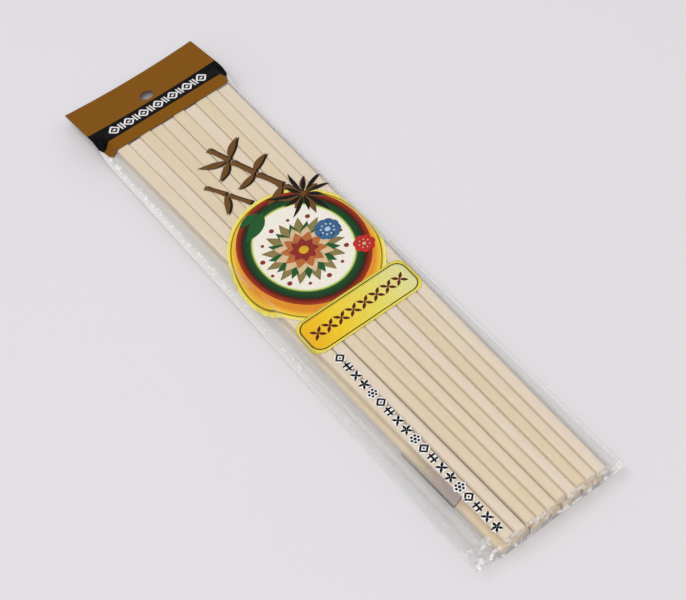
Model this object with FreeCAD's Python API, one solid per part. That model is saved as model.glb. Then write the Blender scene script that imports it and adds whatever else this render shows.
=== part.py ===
"""Retail pack of ten pairs of melamine chopsticks in a clear header bag.

Twenty identical sticks lie in two layers, all with their handles the same way.
Each stick is square at the handle and round at the tip, so the layers fan in and
drop towards the tips.  A welded bag of clear film wraps them, and a printed header
with a peg hole is welded across the mouth of the bag.

Frame: +Y runs from the tips to the header, +Z is up, +X is across the pack.
The origin is on the table, under the middle of the whole pack.  Millimetres.
"""
import FreeCAD, Part
import math
import os

os.makedirs("parts", exist_ok=True)

Vector = FreeCAD.Vector

# ---------------------------------------------------------------- one chopstick
STICK_LENGTH = 270.0
HANDLE_WIDTH = 6.12      # across the flats of the square handle end
TIP_WIDTH = 4.85         # across the rounded tip
HANDLE_CORNER = 0.8      # radius along the handle's four long edges
HANDLE_END_ROUND = 0.45  # rounding of the handle's end face
TIP_END_ROUND = 0.45     # rounding of the tip's end face
TIP_ROUNDNESS = 0.62     # corner radius of the tip, as a share of half its width
SQUARE_SHARE = 0.45      # share of the length that keeps the square handle
ROUND_SHARE = 0.72       # share of the length at which the section is as round as the tip

# ---------------------------------------------------------------- the two layers
STICKS_PER_LAYER = 10
LAYERS = ("under", "top")
SIDE_GAP = 0.08          # air between neighbours in a layer
LAY_GAP = 0.05           # air between things that lie on each other
# Wider gaps where two neighbours lie a little apart, after the stick of this number.
HANDLE_SLACK = {"top": {5: 0.10, 7: 0.12}, "under": {4: 0.10}}
TIP_SLACK = {"top": {1: 0.25, 2: 0.55, 5: 0.15}, "under": {3: 0.70, 6: 0.50, 8: 0.60}}
END_SHUFFLE = 0.5        # how far the sticks' ends stand out of line, each way
# How far the middle of each layer lies to the right of the bag's middle.
HANDLE_OFFSET = {"top": 0.50, "under": 0.40}
TIP_OFFSET = {"top": 3.85, "under": 1.55}

# ---------------------------------------------------------------- the film bag
SIDE_FIN = 4.18          # how far each side stands out past the widest row of sticks
FILM = 0.1               # thickness of one wall
SEAM = 0.3               # thickness of a welded edge
SIDE_WELD = 1.5          # width of the welds down the two sides
BOTTOM_WELD = 0.8        # width of the weld across the bottom
SIDE_ROOM = 0.5          # from the outermost stick to the fold of the film
TIP_ROOM = 0.4           # from the furthest tip to the film's end wall
HANDLE_ROOM = 0.9        # from the furthest handle end to the header's lower edge
END_SLOPE_RUN = 1.0      # length of the sloping end wall beyond the tips
SIDE_SEAM_HEIGHT = 4.6   # height of the side and bottom welds above the table

# ---------------------------------------------------------------- the header
HEADER_HEIGHT = 42.0     # along its own slope
HEADER_THICKNESS = 0.3   # both plies together
HEADER_GAP = 0.15        # air between the header and the bag that it lies on
HEADER_DROP = 7.2        # how much lower the free edge hangs than the lower edge
MOUTH_RUN = 14.0         # from the header's lower edge to the weld that closes the mouth
MOUTH_WELD = 5.0         # width of that weld
PEG_HOLE = 7.0           # diameter
PEG_HOLE_CLEAR = 1.15    # from the mouth weld to the edge of the hole


# ---------------------------------------------------------------- layout
def layer_row(width, slack, offset):
    """Centre lines across one end of a layer, from left to right."""
    places = [0.0]
    for number in range(1, STICKS_PER_LAYER):
        places.append(places[-1] + width + SIDE_GAP + slack.get(number, 0.0))
    middle = places[-1] / 2
    return [place - middle + offset for place in places]


HANDLE_X = {layer: layer_row(HANDLE_WIDTH, HANDLE_SLACK[layer], HANDLE_OFFSET[layer])
            for layer in LAYERS}
TIP_X = {layer: layer_row(TIP_WIDTH, TIP_SLACK[layer], TIP_OFFSET[layer])
         for layer in LAYERS}


def bundle_sides(rows, width):
    """Left and right limits of both layers, with the room the film leaves."""
    reach = width / 2 + SIDE_ROOM
    left = min(row[0] for row in rows.values()) - reach
    right = max(row[-1] for row in rows.values()) + reach
    return left, right


HANDLE_SIDES = bundle_sides(HANDLE_X, HANDLE_WIDTH)
TIP_SIDES = bundle_sides(TIP_X, TIP_WIDTH)
BAG_EDGE = max(abs(x) for x in HANDLE_SIDES + TIP_SIDES) + SIDE_FIN

HEADER_ANGLE = math.asin(HEADER_DROP / HEADER_HEIGHT)
HEADER_RUN = HEADER_HEIGHT * math.cos(HEADER_ANGLE)

PACK_LENGTH = (BOTTOM_WELD + END_SLOPE_RUN + TIP_ROOM + 2 * END_SHUFFLE
               + STICK_LENGTH + HANDLE_ROOM + HEADER_RUN)
BOTTOM_Y = -PACK_LENGTH / 2
END_WALL_Y = BOTTOM_Y + BOTTOM_WELD + END_SLOPE_RUN
TIP_Y = END_WALL_Y + TIP_ROOM + END_SHUFFLE
HANDLE_Y = TIP_Y + STICK_LENGTH
HEADER_Y = HANDLE_Y + END_SHUFFLE + HANDLE_ROOM
MOUTH_Y = HEADER_Y + MOUTH_RUN


def layer_floor(layer):
    """Height of the surface that a layer lies on, at the handle and at the tip."""
    floor = FILM + LAY_GAP
    if layer == "under":
        return floor, floor
    return floor + HANDLE_WIDTH + LAY_GAP, floor + TIP_WIDTH + LAY_GAP


def film_top(width):
    """Height of the film over two layers of sticks of this width."""
    return FILM + LAY_GAP + 2 * (width + LAY_GAP) + FILM


def header_underside(y):
    """Height of the sloping plane that the header and the closed mouth share."""
    return film_top(HANDLE_WIDTH) - (y - HEADER_Y) * math.tan(HEADER_ANGLE)


# ---------------------------------------------------------------- chopsticks
def rounded_square(width, corner, y):
    """Outline across a stick at y: a square with round corners."""
    half = width / 2
    flat = half - corner
    bulge = flat + corner * math.sqrt(0.5)
    edges = []
    for turn in range(4):
        spin = FreeCAD.Rotation(Vector(0, 1, 0), 90 * turn)
        side_start = spin.multVec(Vector(half, y, -flat))
        side_end = spin.multVec(Vector(half, y, flat))
        corner_middle = spin.multVec(Vector(bulge, y, bulge))
        corner_end = spin.multVec(Vector(flat, y, half))
        edges.append(Part.LineSegment(side_start, side_end).toShape())
        edges.append(Part.Arc(side_end, corner_middle, corner_end).toShape())
    return Part.Wire(Part.__sortEdges__(edges))


def chopstick():
    """One stick along -Y from its handle end at the origin."""
    def width_at(share):
        return HANDLE_WIDTH + (TIP_WIDTH - HANDLE_WIDTH) * share

    def section(share, corner):
        return rounded_square(width_at(share), corner, -STICK_LENGTH * share)

    def round_corner(share):
        return TIP_ROUNDNESS * width_at(share) / 2

    handle = Part.makeLoft([section(0, HANDLE_CORNER),
                            section(SQUARE_SHARE, HANDLE_CORNER)], True, True)
    change = Part.makeLoft([section(SQUARE_SHARE, HANDLE_CORNER),
                            section(ROUND_SHARE, round_corner(ROUND_SHARE))], True, True)
    tip = Part.makeLoft([section(ROUND_SHARE, round_corner(ROUND_SHARE)),
                         section(1, round_corner(1))], True, True)
    stick = handle.fuse([change, tip]).removeSplitter()

    def edges_at(y):
        return [edge for edge in stick.Edges
                if abs(edge.BoundBox.YMin - y) < 1e-6 and edge.BoundBox.YLength < 1e-6]

    stick = stick.makeFillet(HANDLE_END_ROUND, edges_at(0.0))
    return stick.makeFillet(TIP_END_ROUND, [
        edge for edge in stick.Edges
        if edge.BoundBox.YMax < -STICK_LENGTH + 1e-6])


def end_shift(number, layer):
    """How far along the pack one stick has slid, never more than END_SHUFFLE."""
    phase = 0.0 if layer == "top" else 1.3
    return END_SHUFFLE * math.sin(2.4 * number + phase)


def placed_chopstick(stick, layer, number):
    """The stick of this number, from the left, in a layer."""
    handle_floor, tip_floor = layer_floor(layer)
    y = HANDLE_Y + end_shift(number, layer)
    handle = Vector(HANDLE_X[layer][number - 1], y, handle_floor + HANDLE_WIDTH / 2)
    tip = Vector(TIP_X[layer][number - 1], y - STICK_LENGTH, tip_floor + TIP_WIDTH / 2)
    copy = stick.copy()
    copy.Placement = FreeCAD.Placement(handle, FreeCAD.Rotation(Vector(0, -1, 0), tip - handle))
    return copy


# ---------------------------------------------------------------- film shapes
def outline(y, corners):
    """Corners of an outline across the pack at y, from (x, z) pairs."""
    return [Vector(x, y, z) for x, z in corners]


def panel(a, b, c, d):
    """Face with these four corners: a plane, or a ruled face if they don't share one."""
    off_plane = (b - a).cross(d - a).dot(c - a)
    if abs(off_plane) < 1e-6:
        return Part.Face(Part.makePolygon([a, b, c, d, a]))
    return Part.makeRuledSurface(Part.makeLine(a, b), Part.makeLine(d, c))


def skinned(outlines):
    """Solid with panels from each outline to the next, closed at both ends."""
    ends = (outlines[0], outlines[-1])
    faces = [Part.Face(Part.makePolygon(end + end[:1])) for end in ends]
    for near, far in zip(outlines, outlines[1:]):
        for i in range(len(near)):
            j = (i + 1) % len(near)
            faces.append(panel(near[i], near[j], far[j], far[i]))
    shell = Part.makeShell(faces)
    shell.sewShape()
    solid = Part.makeSolid(shell)
    if solid.Volume < 0:
        solid.reverse()
    return solid


# ---------------------------------------------------------------- bag
def bag_outline(y, sides, bottom, top, seam_z):
    """Outer outline across the bag: flat welds at both sides, film over and under."""
    left, right = sides
    edge = BAG_EDGE
    weld = edge - SIDE_WELD
    low, high = seam_z - SEAM / 2, seam_z + SEAM / 2
    return outline(y, [
        (-edge, low), (-weld, low), (left, bottom), (right, bottom), (weld, low), (edge, low),
        (edge, high), (weld, high), (right, top), (left, top), (-weld, high), (-edge, high)])


def bag_room(y, sides, bottom, top, seam_z):
    """Inner outline across the bag, one film thickness inside the outer one."""
    left, right = sides[0] + FILM, sides[1] - FILM
    weld = BAG_EDGE - SIDE_WELD - FILM
    low, high = seam_z - SEAM / 2 + FILM, seam_z + SEAM / 2 - FILM
    return outline(y, [
        (-weld, low), (left, bottom + FILM), (right, bottom + FILM), (weld, low),
        (weld, high), (right, top - FILM), (left, top - FILM), (-weld, high)])


def bag():
    """Welded film bag: one closed wall with flat welds at its sides and both ends."""
    seam_z = SIDE_SEAM_HEIGHT
    closed = (seam_z - SEAM / 2, seam_z + SEAM / 2, seam_z)
    at_tips = (TIP_SIDES, 0.0, film_top(TIP_WIDTH), seam_z)
    at_handles = (HANDLE_SIDES, 0.0, film_top(HANDLE_WIDTH), seam_z)

    def at_mouth(y):
        top = header_underside(y)
        return HANDLE_SIDES, top - SEAM, top, top - SEAM / 2

    outer = [
        bag_outline(BOTTOM_Y, TIP_SIDES, *closed),
        bag_outline(BOTTOM_Y + BOTTOM_WELD, TIP_SIDES, *closed),
        bag_outline(END_WALL_Y, *at_tips),
        bag_outline(HEADER_Y, *at_handles),
        bag_outline(MOUTH_Y, *at_mouth(MOUTH_Y)),
        bag_outline(MOUTH_Y + MOUTH_WELD, *at_mouth(MOUTH_Y + MOUTH_WELD)),
    ]
    inner = [
        bag_room(BOTTOM_Y + BOTTOM_WELD, TIP_SIDES, *closed),
        bag_room(END_WALL_Y, *at_tips),
        bag_room(HEADER_Y, *at_handles),
        bag_room(MOUTH_Y, *at_mouth(MOUTH_Y)),
    ]
    return skinned(outer).cut(skinned(inner))


# ---------------------------------------------------------------- header
def header_outline(y, seat):
    """Outline across the header, which lies on the seat: (x, z) points, left to right."""
    under = [(x, z + HEADER_GAP) for x, z in seat]
    over = [(x, z + HEADER_THICKNESS) for x, z in reversed(under)]
    return outline(y, under + over)


def header():
    """Printed header: bent over the end of the bundle, then flat, with a round peg hole."""
    across = (-BAG_EDGE, SIDE_WELD - BAG_EDGE, *HANDLE_SIDES, BAG_EDGE - SIDE_WELD, BAG_EDGE)
    weld_top = SIDE_SEAM_HEIGHT + SEAM / 2
    heights = (weld_top, weld_top, film_top(HANDLE_WIDTH),
               film_top(HANDLE_WIDTH), weld_top, weld_top)
    top_y = HEADER_Y + HEADER_RUN

    def flat_seat(y):
        return [(x, header_underside(y)) for x in across]

    sheet = skinned([header_outline(HEADER_Y, list(zip(across, heights))),
                     header_outline(MOUTH_Y, flat_seat(MOUTH_Y)),
                     header_outline(top_y, flat_seat(top_y))])
    hole_y = MOUTH_Y + MOUTH_WELD + PEG_HOLE_CLEAR + PEG_HOLE / 2
    along_hole = Vector(0, math.sin(HEADER_ANGLE), math.cos(HEADER_ANGLE))
    hole_middle = Vector(0, hole_y, header_underside(hole_y) + HEADER_GAP)
    hole = Part.makeCylinder(PEG_HOLE / 2, 2 * HEADER_THICKNESS,
                             hole_middle - along_hole * HEADER_THICKNESS / 2, along_hole)
    return sheet.cut(hole)


# ---------------------------------------------------------------- write the pieces
pieces = {"film_bag": bag(), "printed_header": header()}
one_stick = chopstick()
for layer in LAYERS:
    for number in range(1, STICKS_PER_LAYER + 1):
        pieces[f"chopstick_{layer}_{number:02d}"] = placed_chopstick(one_stick, layer, number)

for name, shape in pieces.items():
    if not shape.isValid():
        raise ValueError(f"{name} is not a valid shape")
    shape.exportStep(f"parts/{name}.step")
    box = shape.BoundBox
    print(f"{name}: {shape.Volume / 1000:.2f} cm3, {len(shape.Solids)} solid, "
          f"x {box.XMin:.2f}..{box.XMax:.2f}, y {box.YMin:.2f}..{box.YMax:.2f}, "
          f"z {box.ZMin:.2f}..{box.ZMax:.2f}")
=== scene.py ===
"""Looks of a retail pack of melamine chopsticks: clear film, printed header, prints and light.

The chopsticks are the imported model's own nodes.  The film bag and the header are modelled
here in the places of their plain stand-ins, and the prints lie on the film.  Shapes are
worked out in millimetres and turned to metres when a piece is finished.
"""

import math

import bmesh
import bpy
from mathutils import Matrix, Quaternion, Vector, noise
from mathutils.bvhtree import BVHTree


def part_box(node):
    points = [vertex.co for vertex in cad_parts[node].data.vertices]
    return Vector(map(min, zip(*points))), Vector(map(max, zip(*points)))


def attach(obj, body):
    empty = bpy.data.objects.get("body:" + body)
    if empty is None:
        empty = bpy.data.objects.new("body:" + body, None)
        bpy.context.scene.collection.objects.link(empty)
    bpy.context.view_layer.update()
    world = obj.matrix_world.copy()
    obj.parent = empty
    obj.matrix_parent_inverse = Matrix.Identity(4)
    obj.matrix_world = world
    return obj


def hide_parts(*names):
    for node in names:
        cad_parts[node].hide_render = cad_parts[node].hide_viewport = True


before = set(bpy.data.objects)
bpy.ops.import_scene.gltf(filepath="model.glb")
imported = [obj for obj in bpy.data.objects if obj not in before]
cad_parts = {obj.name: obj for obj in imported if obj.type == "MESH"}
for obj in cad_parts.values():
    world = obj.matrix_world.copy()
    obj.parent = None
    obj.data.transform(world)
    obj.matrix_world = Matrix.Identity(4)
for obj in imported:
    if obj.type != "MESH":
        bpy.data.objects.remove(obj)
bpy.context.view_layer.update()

MM = 0.001

# ---------------------------------------------------------------- sizes of the film
FILM_WALL = 0.08        # one wall of the bag
FILM_LIFT = 0.15        # from the top sticks to the outer face of the front film
SHOULDER_ROOM = 0.3     # from a layer's outer face to the fold of the film
FIN_HEIGHT = 4.75       # top of the welded side fins above the table
SEAM = 0.3              # thickness of a welded edge
WELD_IN = 2.5           # from the bag's edge to the middle of the crimped weld
SLOPE_SHARE = {-1: 0.62, 1: 0.85}   # left and right: share of the free film that slopes
SLOPE_BEND = {-1: 1.7, 1: 1.15}     # left and right: 1 is a straight slope, more a hollow one
TIP_LOOSENESS = {-1: 0.12, 1: 0.8}  # left and right: how slack the free film is at the tips
END_LOOSENESS = 0.07    # how slack the film of the end wall is
CORNER_PAINTED_GLINTS = 0.6     # share of white flecks painted as glints in the crumpled lower corners
END_RUN = 1.0           # length of the sloping end wall
BOTTOM_WELD = 0.8       # width of the weld across the bottom
MOUTH_RUN = 14.0        # over which the film closes under the header
SLOW_WAVE = 0.6         # height of the fins' slow waves
QUICK_WAVE = 0.2        # height of the quicker waves on them
CREASE_OVER = 0.07      # height of the creases over the sticks
CREASE_BESIDE = 0.16    # height of the creases in the free film
CRUMPLED = 18.0         # how far the crumpled lower corners reach up the bag
COLUMNS = (17, 38, 17)  # mesh columns on the left, over the sticks and on the right
ROWS = (8, 262, 14)     # mesh rows of the weld and end wall, along the sticks, under the header

# ---------------------------------------------------------------- sizes of the header
HEADER_GAP = 0.15       # from the outer face of the film to the header
HEADER_WALL = 0.3       # both plies of the header
HEADER_DROP = 7.2       # how much lower its free edge is than its lower edge
HEADER_SAG = 1.5        # how far the middle of its free edge hangs below the corners
HEADER_LAP = 1.4        # how far it covers the ends of the handles
HEADER_TUCK = 7.8       # how far its lower corners are drawn up towards the peg hole
TUCK_FROM = 31.0        # from the middle of the pack to where the drawn-up corners start
TUCK_RUN = 20.0         # how far up the header the drawn-up corners reach
HEADER_PITCH = 1.2      # squares of its mesh
PEG_HOLE = 7.0
PEG_HOLE_UP = 23.65     # from the header's lower edge to the middle of the hole
STRIP_WIDTH = 6.0       # brown strip below the black band
BAND_WIDTH = 12.0       # black band above it

# ---------------------------------------------------------------- sizes of the prints
PRINT_WALL = 0.02       # thickness of the ink
PRINT_PITCH = 1.5       # squares of the prints' meshes
ORNAMENT_UP = 0.04      # from the header to the ornament on its black band
ANY_HEIGHT = 10000      # a ramp scaled to this reach upwards is the same at any height
WELL_ABOVE = 50.0       # a height that is above all of the pack

# ---------------------------------------------------------------- where things lie
bag_low, bag_high = (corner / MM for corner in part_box("film_bag"))
header_low, header_high = (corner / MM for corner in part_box("printed_header"))
BAG_EDGE = bag_high.x
HEADER_Y = header_low.y
HEADER_RUN = header_high.y - header_low.y
BAND_MIDDLE = HEADER_Y + STRIP_WIDTH + BAND_WIDTH / 2
END_REACH = 1.5         # from its end, the part of a stick that its end's middle is taken from


def stick_end(points, end_y):
    """Middle and width of a stick where it ends at end_y."""
    near = [p for p in points if abs(p.y - end_y) < END_REACH]
    left, right = min(p.x for p in near), max(p.x for p in near)
    bottom, top = min(p.z for p in near), max(p.z for p in near)
    return Vector(((left + right) / 2, end_y, (bottom + top) / 2)), right - left


def stick_ends(node):
    """The handle end and the tip end of a stick."""
    points = [vertex.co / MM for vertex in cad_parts[node].data.vertices]
    return (stick_end(points, max(p.y for p in points)),
            stick_end(points, min(p.y for p in points)))


LAYERS = ("under", "top")
STICKS = {layer: [stick_ends(node) for node in sorted(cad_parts)
                  if node.startswith(f"chopstick_{layer}_")] for layer in LAYERS}
HANDLE_Y = max(handle.y for (handle, _), _ in STICKS["top"])
TIP_Y = min(tip.y for _, (tip, _) in STICKS["top"])
HANDLE_TOP = max(handle.z + width / 2 for (handle, width), _ in STICKS["top"])
TIP_TOP = max(tip.z + width / 2 for _, (tip, width) in STICKS["top"])


def mix(a, b, share):
    """The value this share of the way from a to b."""
    return a + (b - a) * share


def ease(share):
    """0 to 1 with a soft start and a soft end."""
    share = min(max(share, 0.0), 1.0)
    return share * share * (3 - 2 * share)


def along(y):
    """Share of the way from the handle ends to the tips."""
    return min(max((HANDLE_Y - y) / (HANDLE_Y - TIP_Y), 0.0), 1.0)


def past_weld(y):
    """0 at the inner edge of the bottom weld, 1 where the end wall has its full height."""
    return (y - bag_low.y - BOTTOM_WELD) / END_RUN


def closed(y):
    """0 below the header, 1 where front and back film have met under it."""
    return ease((y - HEADER_Y) / MOUTH_RUN)


def side_of(x):
    """-1 on the left of the pack, 1 on the right."""
    return -1 if x < 0 else 1


def row_side(layer, side, y):
    """x of the fold of the film at the left (-1) or right (1) of a layer."""
    (handle, handle_width), (tip, tip_width) = STICKS[layer][0 if side < 0 else -1]
    share = along(y)
    reach = mix(handle_width, tip_width, share) / 2 + SHOULDER_ROOM
    return mix(handle.x, tip.x, share) + side * reach


def way_out(layer, x, y):
    """0 over a layer, rising to 1 where the slope of the film beside it meets the fin."""
    side = side_of(x)
    fold = row_side(layer, side, y)
    out = (x - fold) * side
    foot = (BAG_EDGE - abs(fold)) * SLOPE_SHARE[side]
    return min(max(out / foot, 0.0), 1.0)


# ---------------------------------------------------------------- shape of the film
def header_plane(y):
    """Height of the sloping plane of the closed mouth and the header."""
    return HANDLE_TOP + FILM_LIFT - (y - HEADER_Y) * HEADER_DROP / HEADER_RUN


def header_sag(x, y):
    """How far the header and the mouth in it hang below that plane."""
    across = 1 - (x / BAG_EDGE) ** 2
    return HEADER_SAG * across * ease((y - HEADER_Y - 2) / (HEADER_RUN * 0.6))


def fin_wave(x, y):
    """Waves of the free fins, about 31 mm and 11 mm long, larger towards the tips."""
    seed = 2.0 if x < 0 else 9.0
    slow = noise.noise(Vector((seed, y / 31, 0.3)))
    quick = noise.noise(Vector((seed + x / 14, y / 11, 4.3)))
    return (SLOW_WAVE * slow + QUICK_WAVE * quick) * mix(0.45, 1.0, along(y))


def taut_front(x, y):
    """Front film and header as drawn tight: over the sticks, down the sides, closed at the ends."""
    top = mix(HANDLE_TOP, TIP_TOP, along(y)) + FILM_LIFT
    out = way_out("top", x, y)
    fin = FIN_HEIGHT + fin_wave(x, y) * ease(out * 1.5) * ease((HEADER_Y - y) / 25)
    height = mix(top, fin, 1 - (1 - out) ** SLOPE_BEND[side_of(x)])
    height = mix(height, header_plane(y), closed(y)) - header_sag(x, y)
    return mix(FIN_HEIGHT, height, math.sqrt(ease(past_weld(y))))


def ridges(x, y, wide, long, seed):
    """Sharp-topped folds of noise, this wide and long: 1 on a ridge, about 0 between them."""
    return 1 - abs(noise.noise(Vector((x / wide, y / long, seed)))) * 2.4


def front_height(x, y):
    """Outer face of the front film: creased along the pack, and crumpled at its lower corners."""
    free = ease(way_out("top", x, y) * 1.6)
    corner = ease((bag_low.y + CRUMPLED - y) / CRUMPLED) * free
    folds = 0.7 * ridges(x, y, 5, 13, 1.7) + 0.3 * ridges(x, y, 2.2, 5.5, 7.1)
    creases = mix(CREASE_OVER, CREASE_BESIDE, free) * folds
    crumples = corner * (0.7 * ridges(x, y, 5, 5, 2.9) + 0.6 * ridges(x, y, 2.4, 2.4, 5.3))
    # Folds are flatter in the welded edges, and gone where the film meets the header.
    off_seam = ease((BAG_EDGE - abs(x)) / 1.8) * ease((y - bag_low.y) / 2.5)
    fade = ease((HEADER_Y - 1 - y) / 8) * mix(0.35, 1.0, off_seam)
    return taut_front(x, y) + (creases + crumples) * fade


def back_height(x, y):
    """Outer face of the back film: flat under the sticks, up to the fins and the ends."""
    front = front_height(x, y) - SEAM
    out = way_out("under", x, y)
    height = mix(bag_low.z, front, out ** 1.6)
    height = mix(height, front, closed(y))
    return mix(front, height, ease(past_weld(y)))


def looseness(x, y):
    """0 where the film lies on the sticks, up to 1 where it hangs free beside them."""
    at_tips = TIP_LOOSENESS[side_of(x)]
    beside = ease(way_out("top", x, y) * 2.5) * mix(1.0, at_tips, ease(along(y)))
    beyond = ease((TIP_Y + 1.5 - y) / 2) * END_LOOSENESS
    return max(beside, beyond)


def spread(share, stops, counts):
    """Place at this share of all mesh lines, so many of them from each stop to the next."""
    line = share * sum(counts)
    for low, high, count in zip(stops, stops[1:], counts):
        if line <= count:
            return mix(low, high, line / count)
        line -= count
    return stops[-1]


def film_place(across, length):
    """x and y of a mesh point of the film; both shares run from 0 to 1."""
    end_y = bag_low.y + BOTTOM_WELD + END_RUN
    y = spread(length, (bag_low.y, end_y, HEADER_Y, bag_high.y), ROWS)
    left, right = row_side("top", -1, y), row_side("top", 1, y)
    return spread(across, (-BAG_EDGE, left, right, BAG_EDGE), COLUMNS), y


def film_shape():
    """Closed envelope of film, and the front film's skin for the prints to lie on."""
    shape = bmesh.new()
    bmesh.ops.create_grid(shape, x_segments=sum(COLUMNS), y_segments=sum(ROWS), size=0.5)
    for vertex in shape.verts:
        x, y = film_place(vertex.co.x + 0.5, vertex.co.y + 0.5)
        vertex.co = (x, y, front_height(x, y))
    skin = BVHTree.FromBMesh(shape)
    loose = shape.verts.layers.float.new("loose")
    for vertex in shape.verts:
        vertex[loose] = looseness(vertex.co.x, vertex.co.y)
    raised = bmesh.ops.extrude_face_region(shape, geom=list(shape.faces))
    front = {item for item in raised["geom"] if isinstance(item, bmesh.types.BMVert)}
    for vertex in shape.verts:
        if vertex not in front:
            vertex.co.z = back_height(vertex.co.x, vertex.co.y)
    bmesh.ops.recalc_face_normals(shape, faces=shape.faces)
    return shape, skin


# ---------------------------------------------------------------- colours and materials
def colour(text):
    """Linear RGBA of an sRGB hex colour."""
    shares = [int(text[i:i + 2], 16) / 255 for i in (0, 2, 4)]
    return [s / 12.92 if s <= 0.04045 else ((s + 0.055) / 1.055) ** 2.4 for s in shares] + [1.0]


def add(tree, kind, inputs=None, **settings):
    """Adds a node with its settings, and its inputs from values or other nodes' sockets."""
    node = tree.nodes.new(kind)
    for name, value in settings.items():
        setattr(node, name, value)
    for name, value in (inputs or {}).items():
        if isinstance(value, bpy.types.NodeSocket):
            tree.links.new(value, node.inputs[name])
        else:
            node.inputs[name].default_value = value
    return node


def new_material(name):
    """Empty material with its node tree and its output."""
    material = bpy.data.materials.new(name)
    material.use_nodes = True
    tree = material.node_tree
    tree.nodes.clear()
    return material, tree, add(tree, "ShaderNodeOutputMaterial")


def melamine(name, main, warm):
    """Melamine, compression moulded: satin, with a faint cloud of colour along the stick."""
    material, tree, output = new_material(name)
    place = add(tree, "ShaderNodeTexCoord").outputs["Object"]
    # The cloud is about 8 mm across and 60 mm long.
    long = add(tree, "ShaderNodeMapping", {"Vector": place, "Scale": (125, 16, 125)})
    cloud = add(tree, "ShaderNodeTexNoise", {"Vector": long.outputs[0], "Scale": 1.0,
                                             "Detail": 3.0})
    tint = add(tree, "ShaderNodeMix", {0: cloud.outputs[0], 6: colour(main), 7: colour(warm)},
               data_type="RGBA")
    # Flow lines left by the mould, about 0.8 mm apart and drawn out along the stick.
    lines = add(tree, "ShaderNodeMapping", {"Vector": place, "Scale": (1250, 40, 1250)})
    flow = add(tree, "ShaderNodeTexNoise", {"Vector": lines.outputs[0], "Scale": 1.0,
                                            "Detail": 2.0})
    gloss = add(tree, "ShaderNodeMapRange", {0: flow.outputs[0], 3: 0.30, 4: 0.42})
    bump = add(tree, "ShaderNodeBump", {"Height": flow.outputs[0], "Strength": 0.12,
                                        "Distance": 0.1 * MM})
    surface = add(tree, "ShaderNodeBsdfPrincipled", {
        "Base Color": tint.outputs[2], "Roughness": gloss.outputs[0],
        "Normal": bump.outputs[0], "IOR": 1.6})
    tree.links.new(surface.outputs[0], output.inputs[0])
    return material


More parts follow.
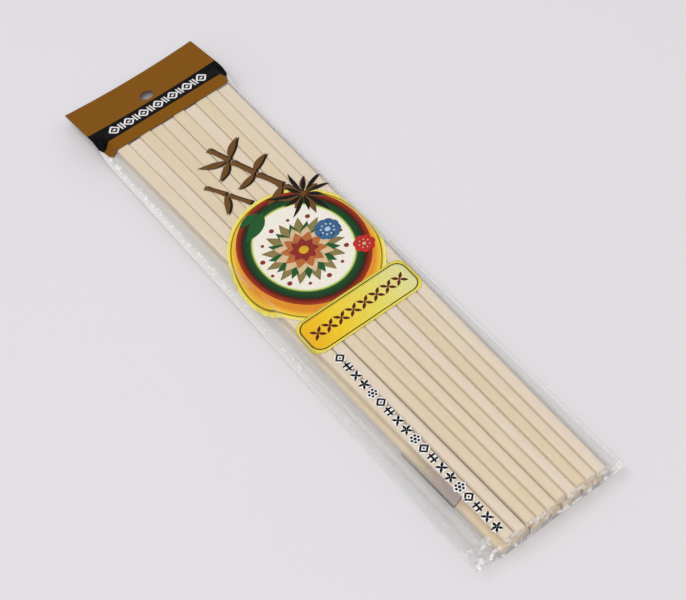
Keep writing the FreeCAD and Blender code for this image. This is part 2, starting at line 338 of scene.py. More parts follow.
def clear_film():
    """Cast polypropylene film: clear and glossy, with fine wrinkles, a faint milky haze and white
    flecks painted as glints.
    """
    material, tree, output = new_material("clear_polypropylene_film")
    place = add(tree, "ShaderNodeTexCoord").outputs["Object"]
    loose = add(tree, "ShaderNodeAttribute", attribute_name="loose").outputs["Fac"]
    # Wrinkles about 4 mm apart across the pack and 12 mm long.
    long = add(tree, "ShaderNodeMapping", {"Vector": place, "Scale": (250, 85, 250)})
    wrinkle = add(tree, "ShaderNodeTexNoise", {"Vector": long.outputs[0], "Scale": 1.0,
                                               "Detail": 3.0, "Roughness": 0.45})
    slow = add(tree, "ShaderNodeBump", {"Height": wrinkle.outputs[0], "Strength": 0.35,
                                        "Distance": 0.5 * MM})
    # The side welds are crimped towards the header, about every 3 mm; white flecks on them are
    # painted highlights, the glints of the crimps.
    sides = add(tree, "ShaderNodeSeparateXYZ", {0: place})
    from_middle = add(tree, "ShaderNodeMath", {0: sides.outputs["X"]}, operation="ABSOLUTE")
    from_weld = add(tree, "ShaderNodeMath", {0: from_middle.outputs[0],
                                             1: (BAG_EDGE - WELD_IN) * MM}, operation="SUBTRACT")
    off_weld = add(tree, "ShaderNodeMath", {0: from_weld.outputs[0]}, operation="ABSOLUTE")
    weld = add(tree, "ShaderNodeMapRange", {0: off_weld.outputs[0], 1: 0.5 * MM, 2: 1.4 * MM,
                                            3: 0.5, 4: 0.0})
    near_header = add(tree, "ShaderNodeMapRange", {0: sides.outputs["Y"], 1: -50 * MM, 2: 40 * MM,
                                                   3: 0.1, 4: 1.0})
    welded = add(tree, "ShaderNodeMath", {0: weld.outputs[0], 1: near_header.outputs[0]},
                 operation="MULTIPLY")
    # The crumpled lower corners carry the same painted highlight flecks, as many on the left as on
    # the right.
    least = min(TIP_LOOSENESS.values())
    corner = add(tree, "ShaderNodeMapRange", {
        0: sides.outputs["Y"], 1: (bag_low.y + 13) * MM, 2: (bag_low.y + 3) * MM, 3: 0.0,
        4: CORNER_PAINTED_GLINTS / least})
    slack = add(tree, "ShaderNodeMath", {0: loose, 1: least}, operation="MINIMUM")
    crumpled = add(tree, "ShaderNodeMath", {0: corner.outputs[0], 1: slack.outputs[0]},
                   operation="MULTIPLY")
    where = add(tree, "ShaderNodeMath", {0: welded.outputs[0], 1: crumpled.outputs[0]},
                operation="MAXIMUM")
    crimp = add(tree, "ShaderNodeTexNoise", {"Vector": place, "Scale": 350.0, "Detail": 1.0})
    bump = add(tree, "ShaderNodeBump", {"Height": crimp.outputs[0], "Strength": where.outputs[0],
                                        "Distance": 1.0 * MM, "Normal": slow.outputs[0]})
    glint_spots = add(tree, "ShaderNodeMapRange", {0: crimp.outputs[0], 1: 0.56, 2: 0.64})
    painted_glints = add(tree, "ShaderNodeMath", {0: glint_spots.outputs[0], 1: where.outputs[0]},
                 operation="MULTIPLY")
    # Only the outer face of each wall mirrors, for both of its faces.
    face = add(tree, "ShaderNodeNewGeometry").outputs["Backfacing"]
    mirror = add(tree, "ShaderNodeFresnel", {"IOR": 1.5, "Normal": bump.outputs[0]})
    outside = add(tree, "ShaderNodeMath", {0: 1.0, 1: face}, operation="SUBTRACT")
    shine = add(tree, "ShaderNodeMath", {0: mirror.outputs[0], 1: outside.outputs[0]},
                operation="MULTIPLY")
    # Seen along its surface, wrinkled film scatters as much as it mirrors.
    shine = add(tree, "ShaderNodeMath", {0: shine.outputs[0], 1: 0.2}, operation="MINIMUM")
    open_film = add(tree, "ShaderNodeBsdfTransparent", {"Color": colour("FEFEFE")})
    gloss = add(tree, "ShaderNodeBsdfAnisotropic", {"Color": colour("FFFFFF"), "Roughness": 0.11,
                                                    "Normal": bump.outputs[0]})
    milk_back = add(tree, "ShaderNodeBsdfDiffuse", {"Color": colour("F8F8F6")})
    milk_through = add(tree, "ShaderNodeBsdfTranslucent", {"Color": colour("F8F8F6")})
    haze = add(tree, "ShaderNodeMixShader", {0: 0.25, 1: milk_back.outputs[0],
                                             2: milk_through.outputs[0]})
    # Where the film hangs free its slack surface looks milkier.
    milk = add(tree, "ShaderNodeMapRange", {0: loose, 3: 0.04, 4: 0.48})
    # The painted highlight flecks are added to the milk.
    milk_and_glints = add(tree, "ShaderNodeMath", {0: milk.outputs[0], 1: painted_glints.outputs[0]}, operation="ADD")
    hazy = add(tree, "ShaderNodeMixShader", {0: milk_and_glints.outputs[0], 1: open_film.outputs[0],
                                             2: haze.outputs[0]})
    surface = add(tree, "ShaderNodeMixShader", {0: shine.outputs[0], 1: hazy.outputs[0],
                                                2: gloss.outputs[0]})
    tree.links.new(surface.outputs[0], output.inputs[0])
    return material


def printed_surface(tree, output, tint, gloss=0.4, mirror=0.12):
    """Gravure ink under glossy film: faint mottle, and a clear coat with slow ripples."""
    place = add(tree, "ShaderNodeTexCoord").outputs["Object"]
    # Mottle of the ink, grains about 1 mm.
    grain = add(tree, "ShaderNodeTexNoise", {"Vector": place, "Scale": 1000.0, "Detail": 2.0})
    shade = add(tree, "ShaderNodeMapRange", {0: grain.outputs[0], 3: 0.86, 4: 1.12})
    mottled = add(tree, "ShaderNodeVectorMath", {0: tint, "Scale": shade.outputs[0]},
                  operation="SCALE")
    ripple = add(tree, "ShaderNodeTexNoise", {"Vector": place, "Scale": 160.0, "Detail": 2.0})
    bump = add(tree, "ShaderNodeBump", {"Height": ripple.outputs[0], "Strength": 0.3,
                                        "Distance": 0.4 * MM})
    surface = add(tree, "ShaderNodeBsdfPrincipled", {
        "Base Color": mottled.outputs[0], "Roughness": gloss, "Specular IOR Level": mirror,
        "Coat Weight": mirror / 2, "Coat Roughness": 0.12, "Normal": bump.outputs[0]})
    tree.links.new(surface.outputs[0], output.inputs[0])


def ink(name, text):
    """One flat ink of the print."""
    material, tree, output = new_material(name)
    place = add(tree, "ShaderNodeTexCoord").outputs["Object"]
    # The ink lies a little unevenly, over about 6 mm.
    cloud = add(tree, "ShaderNodeTexNoise", {"Vector": place, "Scale": 160.0, "Detail": 2.0})
    darker = [c * 0.82 for c in colour(text)[:3]] + [1.0]
    tint = add(tree, "ShaderNodeMix", {0: cloud.outputs[0], 6: colour(text), 7: darker},
               data_type="RGBA")
    printed_surface(tree, output, tint.outputs[2])
    return material


def header_print():
    """The header's ink: bronze brown with one black band across it."""
    material, tree, output = new_material("bronze_and_black_ink")
    place = add(tree, "ShaderNodeTexCoord").outputs["Object"]
    up = add(tree, "ShaderNodeSeparateXYZ", {0: place}).outputs["Y"]
    from_middle = add(tree, "ShaderNodeMath", {0: up, 1: BAND_MIDDLE * MM}, operation="SUBTRACT")
    distance = add(tree, "ShaderNodeMath", {0: from_middle.outputs[0]}, operation="ABSOLUTE")
    in_band = add(tree, "ShaderNodeMath", {0: distance.outputs[0], 1: BAND_WIDTH / 2 * MM},
                  operation="LESS_THAN")
    tint = add(tree, "ShaderNodeMix", {0: in_band.outputs[0], 6: colour("7E500C"),
                                       7: colour("030303")}, data_type="RGBA")
    printed_surface(tree, output, tint.outputs[2], gloss=0.45, mirror=0.05)
    return material


def ramped_ink(name, stops, start, size, rings=True):
    """Ink whose colour changes in oval rings about start, or straight across from it."""
    material, tree, output = new_material(name)
    place = add(tree, "ShaderNodeTexCoord").outputs["Object"]
    scaled = add(tree, "ShaderNodeMapping", {
        "Vector": place, "Location": [c * MM for c in (*start, 0)],
        "Scale": [s * MM for s in (*size, ANY_HEIGHT)]}, vector_type="TEXTURE")
    if rings:
        share = add(tree, "ShaderNodeVectorMath", {0: scaled.outputs[0]}, operation="LENGTH")
        share = share.outputs["Value"]
    else:
        share = add(tree, "ShaderNodeSeparateXYZ", {0: scaled.outputs[0]}).outputs["X"]
    ramp = add(tree, "ShaderNodeValToRGB", {0: share})
    elements = ramp.color_ramp.elements
    while len(elements) < len(stops):
        elements.new(0.5)
    for element, (at, text) in zip(elements, stops):
        element.position = at
        element.color = colour(text)
    printed_surface(tree, output, ramp.outputs[0])
    return material


# ---------------------------------------------------------------- making pieces
SHARP_FROM = 50         # degrees between two faces from which their edge looks sharp


def finished(name, shape, material, wall, side=1.0):
    """A piece on the root body, from a skin in millimetres with a wall on one side of it."""
    bmesh.ops.scale(shape, vec=(MM, MM, MM), verts=shape.verts)
    mesh = bpy.data.meshes.new(name)
    shape.to_mesh(mesh)
    shape.free()
    for polygon in mesh.polygons:
        polygon.use_smooth = True
    mesh.set_sharp_from_angle(angle=math.radians(SHARP_FROM))
    mesh.materials.append(material)
    piece = bpy.data.objects.new(name, mesh)
    bpy.context.scene.collection.objects.link(piece)
    thick = piece.modifiers.new("wall", "SOLIDIFY")
    thick.thickness = wall * MM
    thick.offset = side
    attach(piece, "root")
    return piece


def cut(shape, place, normal):
    """Cuts a flat shape along an upright plane; both sides stay."""
    bmesh.ops.bisect_plane(shape, geom=shape.verts[:] + shape.edges[:] + shape.faces[:],
                           plane_co=place, plane_no=normal, dist=1e-5)


def cut_in_squares(shape, pitch):
    """Cuts a flat shape along a square grid, so that it can follow a curved surface."""
    for axis in (0, 1):
        low = min(vertex.co[axis] for vertex in shape.verts)
        high = max(vertex.co[axis] for vertex in shape.verts)
        normal = [1.0 if axis == i else 0.0 for i in range(3)]
        for number in range(math.ceil(low / pitch), math.ceil(high / pitch)):
            cut(shape, [number * pitch * n for n in normal], normal)


def face_up(shape):
    """Turns the faces of a flat shape so that they look up."""
    bmesh.ops.reverse_faces(shape, faces=[face for face in shape.faces if face.normal.z < 0])


def lay(name, shape, material, skin, height):
    """Lays a flat print on the film, this high above it; what covers other prints lies higher."""
    face_up(shape)
    cut_in_squares(shape, PRINT_PITCH)
    for vertex in shape.verts:
        above = Vector((vertex.co.x, vertex.co.y, WELL_ABOVE))
        spot, normal, _, _ = skin.ray_cast(above, Vector((0, 0, -1)))
        vertex.co = spot + normal * height
    finished(name, shape, material, PRINT_WALL)


def stroke(shape, path, widths):
    """A flat band along a path of (x, y) points with a width at each."""
    points = [Vector((x, y, 0)) for x, y in path]
    sides = None
    for number, (point, width) in enumerate(zip(points, widths)):
        before, after = points[max(number - 1, 0)], points[min(number + 1, len(points) - 1)]
        across = (after - before).normalized().cross(Vector((0, 0, 1))) * width / 2
        if sides is None:
            sides = [shape.verts.new(point - across), shape.verts.new(point + across)]
            edge = shape.edges.new(sides)
            continue
        raised = bmesh.ops.extrude_edge_only(shape, edges=[edge])["geom"]
        edge = next(item for item in raised if isinstance(item, bmesh.types.BMEdge))
        new = [item for item in raised if isinstance(item, bmesh.types.BMVert)]
        # The first new vertex belongs to the side that it was extruded from.
        new.sort(key=lambda vertex: (vertex.co - sides[0].co).length)
        new[0].co, new[1].co = point - across, point + across
        sides = new
    return shape


def curved(start, bend, end, steps):
    """Points of a curve from start to end, drawn towards bend."""
    start, bend, end = Vector(start), Vector(bend), Vector(end)
    shares = [step / steps for step in range(steps + 1)]
    return [tuple(start * (1 - s) ** 2 + bend * 2 * s * (1 - s) + end * s * s) for s in shares]


def leaf(shape, foot, tip, width, bend=0.12):
    """A pointed leaf from foot to tip, a little bent to one side."""
    foot, tip = Vector(foot), Vector(tip)
    length = tip - foot
    middle = (foot + tip) / 2 + Vector((-length.y, length.x)) * bend
    profile = [0.06, 0.42, 0.76, 0.96, 1.0, 0.9, 0.68, 0.38, 0.03]
    path = curved(foot, middle, tip, len(profile) - 1)
    return stroke(shape, path, [width * share for share in profile])


def disc(shape, centre, radius, segments, tall=1.0):
    """A flat round or oval field."""
    made = bmesh.ops.create_circle(shape, cap_ends=True, segments=segments, radius=radius)
    bmesh.ops.scale(shape, vec=(1, tall, 1), verts=made["verts"])
    bmesh.ops.translate(shape, vec=(*centre, 0), verts=made["verts"])
    return shape


def around(centre, radius, count, turn):
    """Points on a circle, each with its direction; the first stands at turn, in degrees."""
    for number in range(count):
        angle = math.radians(turn) + math.tau * number / count
        way = Vector((math.cos(angle), math.sin(angle)))
        yield Vector(centre) + way * radius, way


def blossom(shape, centre, radius, petals):
    """Round petals about a centre."""
    for spot, _ in around(centre, radius * 0.58, petals, 90):
        disc(shape, spot, radius * 0.42, 14)
    disc(shape, centre, radius * 0.51, 14)
    return shape


# ---------------------------------------------------------------- header
def header_height(x, y):
    """Underside of the header, which lies on the bag."""
    return taut_front(x, y) + HEADER_GAP


def header_piece(material):
    """Printed header: one sheet with a round peg hole, bent over the ends of the sticks."""
    shape = bmesh.new()
    bmesh.ops.create_grid(shape, x_segments=1, y_segments=1, size=0.5)
    bmesh.ops.scale(shape, vec=(2 * BAG_EDGE, HEADER_RUN, 1), verts=shape.verts)
    bmesh.ops.translate(shape, vec=(0, HEADER_Y + HEADER_RUN / 2, 0), verts=shape.verts)
    bmesh.ops.delete(shape, geom=shape.faces[:], context="FACES_ONLY")
    hole = bmesh.ops.create_circle(shape, segments=40, radius=PEG_HOLE / 2)
    bmesh.ops.translate(shape, vec=(0, HEADER_Y + PEG_HOLE_UP, 0), verts=hole["verts"])
    bmesh.ops.triangle_fill(shape, edges=shape.edges[:], use_beauty=True)
    face_up(shape)
    cut_in_squares(shape, HEADER_PITCH)
    for side in (-1, 1):
        cut(shape, (row_side("top", side, HEADER_Y), 0, 0), (1, 0, 0))
    for vertex in shape.verts:
        beside = ease((abs(vertex.co.x) - TUCK_FROM) / (BAG_EDGE - TUCK_FROM))
        below = max(1 - (vertex.co.y - HEADER_Y) / TUCK_RUN, 0.0)
        vertex.co.y += (HEADER_TUCK * beside - HEADER_LAP * (1 - beside)) * below ** 2
        vertex.co.z = header_height(vertex.co.x, vertex.co.y)
    piece = finished("header_sheet", shape, material, HEADER_WALL)
    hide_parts("printed_header")


def band_ornament(material):
    """A row of lozenges and paired bars along the header's black band."""
    shape = bmesh.new()
    count, pitch, tall = 13, 4.1, 3.7
    for number in range(count):
        x = (number - (count - 1) / 2) * pitch
        if number % 2 == 0:
            ring = [(x + sx * tall * 0.68, BAND_MIDDLE + sy * tall)
                    for sx, sy in ((0, 1), (1, 0), (0, -1), (-1, 0), (0, 1))]
            for start, end in zip(ring, ring[1:]):
                stroke(shape, [start, end], [0.95, 0.95])
            disc(shape, (x, BAND_MIDDLE), 0.85, 12)
        else:
            for bar_x in (x - 0.7, x + 0.7):
                bar = [(bar_x, BAND_MIDDLE - 3.1), (bar_x, BAND_MIDDLE + 3.1)]
                stroke(shape, bar, [0.75, 0.75])
    face_up(shape)
    cut_in_squares(shape, PRINT_PITCH)
    for vertex in shape.verts:
        top = header_height(vertex.co.x, vertex.co.y) + HEADER_WALL
        vertex.co.z = top + ORNAMENT_UP
    finished("header_ornament", shape, material, PRINT_WALL)


# ---------------------------------------------------------------- prints on the front film
MEDALLION = (2.1, 10.6)         # its middle
MEDALLION_SIZE = (28.2, 33.1)   # half its width and half its height
GOLD_FIELD = (0.9, 7.3)         # middle of the gold field under it
GOLD_SIZE = (33.0, 38.4)        # half the width and half the height of that
SPRAY = (19.3, 35.2)            # the point that the spray's leaves stand about
PLATE = (1.5, -31.0)            # its middle
PLATE_SIZE = (57.0, 19.4)       # its width and its height
MARKS_X = -20.2
MARKS_FROM, MARKS_TO, MARKS = -47.0, -149.0, 19     # y of the first and the last, and how many
PANEL_FROM, PANEL_TO, PANEL_WIDTH = -130.2, -98.0, 4.0
PANEL_COVER = 0.38              # how much of the film the panel's ink covers at its lower end
PANEL_FADE = (-128, -104)       # y from where it gets thinner to where it is gone


def bamboo_prints(brown, dark, skin):
    """Bamboo canes and leaves drawn with a brush: brown strokes with a dark edge."""
    canes = [((1.0, 86.0), (5.0, 74.0), 2.6), ((5.2, 72.6), (9.6, 60.0), 2.8),
             ((9.9, 58.6), (14.8, 46.0), 2.9), ((15.1, 44.6), (19.6, 34.0), 2.9),
             ((-12.4, 68.0), (-7.4, 58.6), 2.2), ((-7.1, 57.4), (-1.4, 46.6), 2.3)]
    leaves = [((4.6, 74.6), (-8.6, 79.6), 3.4), ((4.4, 74.2), (-5.4, 66.4), 3.0),
              ((5.4, 74.6), (15.8, 83.6), 3.2), ((9.4, 60.6), (20.2, 66.2), 3.2),
              ((9.6, 60.2), (-1.6, 57.0), 3.0), ((15.2, 46.2), (3.2, 40.2), 3.2),
              ((-7.6, 58.8), (-13.4, 47.8), 2.8)]
    bodies, edges = bmesh.new(), bmesh.new()
    for start, end, width in canes:
        swell = [width * share for share in (1.12, 0.86, 0.84, 0.9, 1.16)]
        middle = ((start[0] + end[0]) / 2 + 0.4, (start[1] + end[1]) / 2)
        path = curved(start, middle, end, 4)
        stroke(bodies, path, swell)
        stroke(edges, [(x + 0.75, y - 0.75) for x, y in path], [w * 1.06 for w in swell])
    for foot, tip, width in leaves:
        leaf(bodies, foot, tip, width)
        shift = Vector((0.7, -0.8))
        leaf(edges, Vector(foot) + shift, Vector(tip) + shift, width)
    lay("bamboo_print_dark", edges, dark, skin, 0.04)
    lay("bamboo_print_brown", bodies, brown, skin, 0.08)


def spray_print(dark, brown, skin):
    """A spray of narrow bamboo leaves about one point, brown ones under dark ones."""
    for name, tone, reaches, turn, width, height in (
            ("brown", brown, (9, 7, 11, 8, 12, 9, 7), 55, 3.0, 0.15),
            ("dark", dark, (14, 9, 13, 8, 16, 10, 13, 9, 15, 8, 12), 20, 2.0, 0.19)):
        shape = bmesh.new()
        for reach, (spot, way) in zip(reaches, around(SPRAY, 1.2, len(reaches), turn)):
            leaf(shape, spot, spot + way * reach, width, 0.08)
        lay(f"spray_print_{name}", shape, tone, skin, height)


def medallion_prints(inks, skin):
    """An oval medallion: gold, red and green rings round a flower on a pale field."""
    gold = [(0.0, "D98A28"), (0.86, "D98A28"), (0.93, "E9BE38"), (0.945, "4A4214"),
            (0.958, "E2CE40"), (1.0, "EDE28A")]
    rings = [(0.0, "E9E1D6"), (0.735, "E6E2D4"), (0.755, "C3D56C"), (0.785, "1B4A22"),
             (0.88, "12351A"), (0.905, "3E120C"), (0.97, "8E2A12"), (1.0, "9A3618")]
    for name, stops, centre, size, height in (
            ("gold_field", gold, GOLD_FIELD, GOLD_SIZE, 0.04),
            ("medallion", rings, MEDALLION, MEDALLION_SIZE, 0.07)):
        field = disc(bmesh.new(), centre, size[0], 96, size[1] / size[0])
        lay(name, field, ramped_ink(f"{name}_inks", stops, centre, size), skin, height)

    heart = Vector(MEDALLION) + Vector((-1.0, -1.5))
    for name, reach, count, width, tone, turn, height in (
            ("long_leaves", 18.5, 13, 5.4, "leaf_olive", 8, 0.10),
            ("short_leaves", 16.0, 13, 4.6, "leaf_green", 22, 0.13),
            ("outer_petals", 13.4, 12, 5.6, "petal_cream", 18, 0.16),
            ("middle_petals", 10.2, 10, 4.8, "petal_orange", 5, 0.19),
            ("inner_petals", 6.6, 8, 3.8, "petal_red", 20, 0.22)):
        shape = bmesh.new()
        for spot, way in around(heart, reach * 0.1, count, turn):
            leaf(shape, spot, heart + way * reach, width, 0.05)
        lay(f"medallion_{name}", shape, inks[tone], skin, height)
    lay("medallion_heart", disc(bmesh.new(), heart, 2.2, 20), inks["gold"], skin, 0.25)
    berries = bmesh.new()
    for number, (spot, _) in enumerate(around(heart, 18.6, 13, 22)):
        disc(berries, spot, 1.15 if number % 2 else 0.8, 12)
    lay("medallion_berries", berries, inks["petal_red"], skin, 0.15)


def blossom_print(name, place, radius, petals, petal_ink, heart, dot_ring, dot_ink, skin):
    """A round blossom, with a dot at its heart and one on each petal."""
    lay(name, blossom(bmesh.new(), place, radius, petals), petal_ink, skin, 0.26)
    dots = disc(bmesh.new(), place, *heart)
    ring_radius, dot_radius, turn = dot_ring
    for spot, _ in around(place, ring_radius, petals, turn):
        disc(dots, spot, dot_radius, 8)
    lay(f"{name}_dots", dots, dot_ink, skin, 0.30)


def blossom_prints(inks, skin):
    """A blue blossom, a red one and a green leaf over the medallion's rings."""
    blossom_print("blue_blossom", (15.6, 11.5), 6.0, 9, inks["blossom_blue"],
                  (1.3, 16), (3.0, 0.55, 70), inks["blossom_pale"], skin)
    blossom_print("red_blossom", (23.0, -5.6), 5.0, 7, inks["blossom_red"],
                  (0.9, 12), (2.3, 0.4, 64), inks["petal_cream"], skin)
    leaves = leaf(bmesh.new(), (-0.5, 38.8), (-15.5, 29.5), 6.4, 0.1)
    leaf(leaves, (-2.5, 39.4), (-13.5, 37.6), 4.4, -0.1)
    lay("green_leaf", leaves, inks["leaf_green"], skin, 0.12)


def rounded_plate(shrink, corner):
    """The plate with round corners, this much smaller than its full size."""
    shape = bmesh.new()
    size = [side - shrink for side in PLATE_SIZE]
    made = bmesh.ops.create_grid(shape, x_segments=1, y_segments=1, size=0.5)["verts"]
    bmesh.ops.scale(shape, vec=(*size, 1), verts=made)
    bmesh.ops.bevel(shape, geom=made, offset=corner, segments=7, profile=0.5, affect="VERTICES",
                    material=-1)
    bmesh.ops.translate(shape, vec=(*PLATE, 0), verts=shape.verts)
    return shape


def plate_prints(inks, skin):
    """A gold plate under the medallion with a row of small rosettes."""
    lay("plate_margin", rounded_plate(0.0, 5.0), inks["plate_yellow"], skin, 0.10)
    lay("plate_line", rounded_plate(2.2, 5.0), inks["olive_black"], skin, 0.13)
    fade = ramped_ink("plate_inks", [
        (0.0, "E2A916"), (0.3, "E6C42A"), (0.62, "DDD05A"), (1.0, "D3D49A")],
        (PLATE[0] - PLATE_SIZE[0] / 2, PLATE[1]), PLATE_SIZE, rings=False)
    lay("plate_field", rounded_plate(3.2, 4.6), fade, skin, 0.16)
    rosettes = bmesh.new()
    count = 8
    for number in range(count):
        middle = Vector((PLATE[0] + (number - (count - 1) / 2) * 6.1, PLATE[1]))
        for _, way in around((0, 0), 1, 4, 45):
            leaf(rosettes, middle, middle + way * 3.9, 1.5, 0)
    lay("plate_rosettes", rosettes, inks["oxblood"], skin, 0.20)


def mark(shape, kind, centre, grow=0.0):
    """One of five small ornaments, about 4 mm across; grow widens its lines for the halo.

    They are a lozenge, a cross of leaves, a ring of dots, two bars with a stem, and a star.
    """
    x, y = centre
    line = 0.85 + grow
    if kind == 0:
        ring = [spot for spot, _ in around(centre, 1.95, 4, 0)]
        for start, end in zip(ring, ring[1:] + ring[:1]):
            stroke(shape, [start, end], [line, line])
        disc(shape, centre, 0.45 + grow / 2, 8)
    elif kind == 1:
        for spot, way in around(centre, 0.1, 4, 45):
            path = [spot, spot + way * 1.2, spot + way * 2.4]
            stroke(shape, path, [line * 0.6, line * 1.5, line * 0.5])
    elif kind == 2:
        for spot, _ in around(centre, 1.6, 6, 0):
            disc(shape, spot, 0.6 + grow / 2, 8)
        disc(shape, centre, 0.7 + grow / 2, 8)
    elif kind == 3:
        for shift in (-1.05, 1.05):
            stroke(shape, [(x - 1.8, y + shift), (x + 1.8, y + shift)], [line, line])
        stroke(shape, [(x, y - 2.2), (x, y + 2.2)], [line, line])
    else:
        for spot, way in around(centre, 0.2, 5, 90):
            path = [spot, spot + way * 1.3, spot + way * 2.2]
            stroke(shape, path, [line * 0.7, line * 1.4, line * 0.6])


def mark_prints(inks, skin):
    """A column of small dark ornaments with tight white halos."""
    marks, halos = bmesh.new(), bmesh.new()
    for number in range(MARKS):
        centre = (MARKS_X, mix(MARKS_FROM, MARKS_TO, number / (MARKS - 1)))
        kind = (number * 3) % 5
        mark(halos, kind, centre, 1.3)
        mark(marks, kind, centre)
    lay("mark_halos", halos, inks["white"], skin, 0.05)
    lay("marks", marks, inks["black"], skin, 0.08)


def fading_ink(name, text):
    """Thin ink of the panel, which fades out up the pack."""
    material, tree, output = new_material(name)
    place = add(tree, "ShaderNodeTexCoord").outputs["Object"]
    up = add(tree, "ShaderNodeSeparateXYZ", {0: place}).outputs["Y"]
    cover = add(tree, "ShaderNodeMapRange", {0: up, 1: PANEL_FADE[0] * MM, 2: PANEL_FADE[1] * MM,
                                             3: PANEL_COVER, 4: 0.0})
    surface = add(tree, "ShaderNodeBsdfPrincipled", {
        "Base Color": colour(text), "Roughness": 0.4, "Specular IOR Level": 0.2,
        "Alpha": cover.outputs[0]})
    tree.links.new(surface.outputs[0], output.inputs[0])
    return material


def side_panel(skin):
    """A narrow pale panel with a thin dark border, on the left slope of the film."""
    inner = [(row_side("top", -1, y) + 0.1, y) for y in (PANEL_FROM, PANEL_TO)]
    outer = [(x - PANEL_WIDTH, y) for x, y in inner]
    corners = (outer[0], inner[0], inner[1], outer[1])
    panel = bmesh.new()
    panel.faces.new([panel.verts.new((*corner, 0)) for corner in corners])
    panel.normal_update()
    lay("side_panel", panel, fading_ink("lilac_ink", "B4AAAC"), skin, 0.02)
    border = bmesh.new()
    stroke(border, [(x - 0.2, y) for x, y in (outer[1], outer[0])], [0.3, 0.3])
    stroke(border, [(x, y - 0.2) for x, y in (outer[0], inner[0])], [0.3, 0.3])
    lay("side_panel_border", border, fading_ink("umber_ink", "2A2018"), skin, 0.05)


# ---------------------------------------------------------------- put together
TOP_SHADES = (("E2D3B8", "DBC6A5"), ("E1D1B2", "D9C39D"), ("E3D4BD", "DCC8AE"),
              ("E0D0AE", "D7C098"))
# The under layer is the same ivory melamine; its two darker, browner shades are painted shade, cast
# by the top layer over it.
UNDER_SHADES_PAINTED_DARKER = (("DFCAA2", "D6BC8E"), ("DBC49A", "D2B684"))
SHADE_ORDER = (0, 2, 1, 3, 0, 1, 2, 3, 0, 2)    # of the ten sticks in a layer


def melamines(name, shades):
    """One melamine for each pair of colours."""
    return [melamine(f"{name}_{number}", *pair) for number, pair in enumerate(shades, 1)]


def paint_sticks():
    """Gives the top sticks their melamine in four close shades, and the under ones two darker ones
    as painted shade.
    """
    top = melamines("ivory_melamine", TOP_SHADES)
    under = melamines("shaded_ivory_melamine", UNDER_SHADES_PAINTED_DARKER)
    for name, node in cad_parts.items():
        if name.startswith("chopstick_"):
            shades = top if "_top_" in name else under
            shade = SHADE_ORDER[int(name[-2:]) - 1]
            node.data.materials.clear()
            node.data.materials.append(shades[shade % len(shades)])


INKS = {
    "brown": "6E4A20", "dark": "120D0A", "black": "0A090B", "white": "FBFAF8",
    "leaf_green": "1F5A2C", "leaf_olive": "8A7C4A", "petal_cream": "D8BC92",
    "petal_orange": "B86A38", "petal_red": "8E2E26", "gold": "D9A828",
    "blossom_blue": "3A6690", "blossom_pale": "B8CCE0", "blossom_red": "C42A28",
    "olive_black": "3A330C", "plate_yellow": "E6D650", "oxblood": "5E1E14"}


def make_pack():
    """Everything on the pack's one body."""
    paint_sticks()
    shape, skin = film_shape()
    film = finished("film_envelope", shape, clear_film(), FILM_WALL, -1.0)
    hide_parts("film_bag")
    inks = {name: ink(f"{name}_ink", text) for name, text in INKS.items()}
    header_piece(header_print())
    band_ornament(inks["white"])
    bamboo_prints(inks["brown"], inks["dark"], skin)
    medallion_prints(inks, skin)
    blossom_prints(inks, skin)
    spray_print(inks["dark"], inks["brown"], skin)
    plate_prints(inks, skin)
    side_panel(skin)
    mark_prints(inks, skin)


# ---------------------------------------------------------------- floor, light and camera
FLOOR_DROP = 0.05       # mm below the pack, so that the two don't share a plane
FLOOR_REACH = 4.0       # metres from the middle to each edge


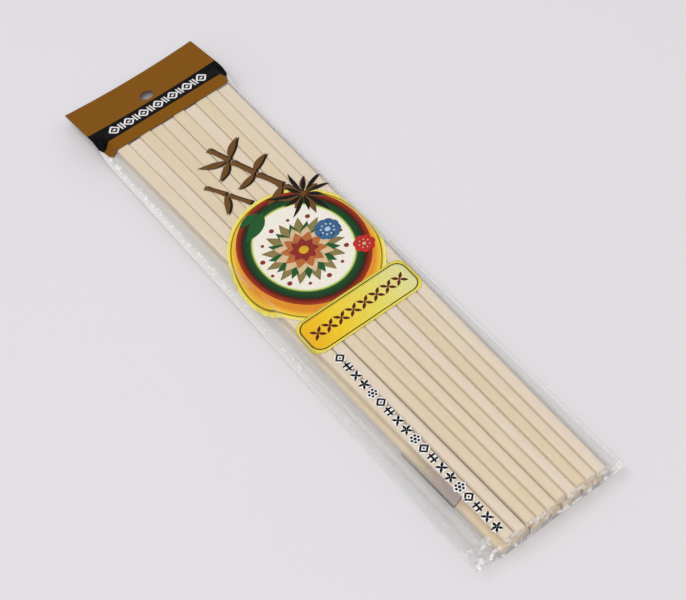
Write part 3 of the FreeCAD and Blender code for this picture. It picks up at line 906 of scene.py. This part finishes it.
def make_floor():
    """A pale matt table top, lacquered board, with hardly any cloud in its colour."""
    material, tree, output = new_material("pale_table")
    place = add(tree, "ShaderNodeTexCoord").outputs["Object"]
    cloud = add(tree, "ShaderNodeTexNoise", {"Vector": place, "Scale": 3.0, "Detail": 1.0})
    tint = add(tree, "ShaderNodeMix", {0: cloud.outputs[0], 6: colour("DCDADC"),
                                       7: colour("D8D6D9")}, data_type="RGBA")
    surface = add(tree, "ShaderNodeBsdfPrincipled", {"Base Color": tint.outputs[2],
                                                     "Roughness": 0.7})
    tree.links.new(surface.outputs[0], output.inputs[0])
    shape = bmesh.new()
    bmesh.ops.create_grid(shape, x_segments=1, y_segments=1, size=FLOOR_REACH)
    bmesh.ops.translate(shape, vec=(0, 0, -FLOOR_DROP * MM), verts=shape.verts)
    mesh = bpy.data.meshes.new("table")
    shape.to_mesh(mesh)
    shape.free()
    mesh.materials.append(material)
    floor = bpy.data.objects.new("table", mesh)
    bpy.context.scene.collection.objects.link(floor)


def add_softbox(name, place, size, power):
    """A square area light that looks at the pack; metres and watts."""
    data = bpy.data.lights.new(name, "AREA")
    data.size = size
    data.energy = power
    lamp = bpy.data.objects.new(name, data)
    lamp.location = place
    lamp.rotation_mode = "QUATERNION"
    lamp.rotation_quaternion = (-Vector(place)).to_track_quat("-Z", "Y")
    bpy.context.scene.collection.objects.link(lamp)


def make_light():
    """Even light from all round, and four softboxes."""
    world = bpy.data.worlds.new("studio")
    world.use_nodes = True
    background = world.node_tree.nodes["Background"]
    background.inputs["Color"].default_value = colour("F3F1F4")
    background.inputs["Strength"].default_value = 0.62
    bpy.context.scene.world = world
    add_softbox("overhead", (-0.35, 0.45, 1.0), 0.6, 1.6)
    add_softbox("back", (-0.5, 0.8, 2.5), 2.8, 8.0)
    add_softbox("front", (-0.80, -1.65, 2.7), 1.2, 42.0)
    add_softbox("right", (1.8, -0.2, 1.2), 1.5, 3.0)


def make_camera():
    """The camera of the usual product view: from the lower left, tilted a little."""
    aim = Vector((2.0, -16.13, 0.0)) * MM
    distance, azimuth, elevation, roll = 0.72814, -26.10, 52.68, -12.366
    turn, lift = math.radians(azimuth), math.radians(elevation)
    back = Vector((math.sin(turn) * math.cos(lift), -math.cos(turn) * math.cos(lift),
                   math.sin(lift)))
    data = bpy.data.cameras.new("camera")
    data.lens = 88.83
    data.sensor_width = 36.0
    camera = bpy.data.objects.new("camera", data)
    camera.location = aim + back * distance
    camera.rotation_mode = "QUATERNION"
    camera.rotation_quaternion = (-back).to_track_quat("-Z", "Y") @ Quaternion(
        (0, 0, 1), math.radians(roll))
    bpy.context.scene.collection.objects.link(camera)
    bpy.context.scene.camera = camera


make_camera()
make_floor()
make_light()
make_pack()
bpy.context.scene.view_settings.view_transform = "Standard"
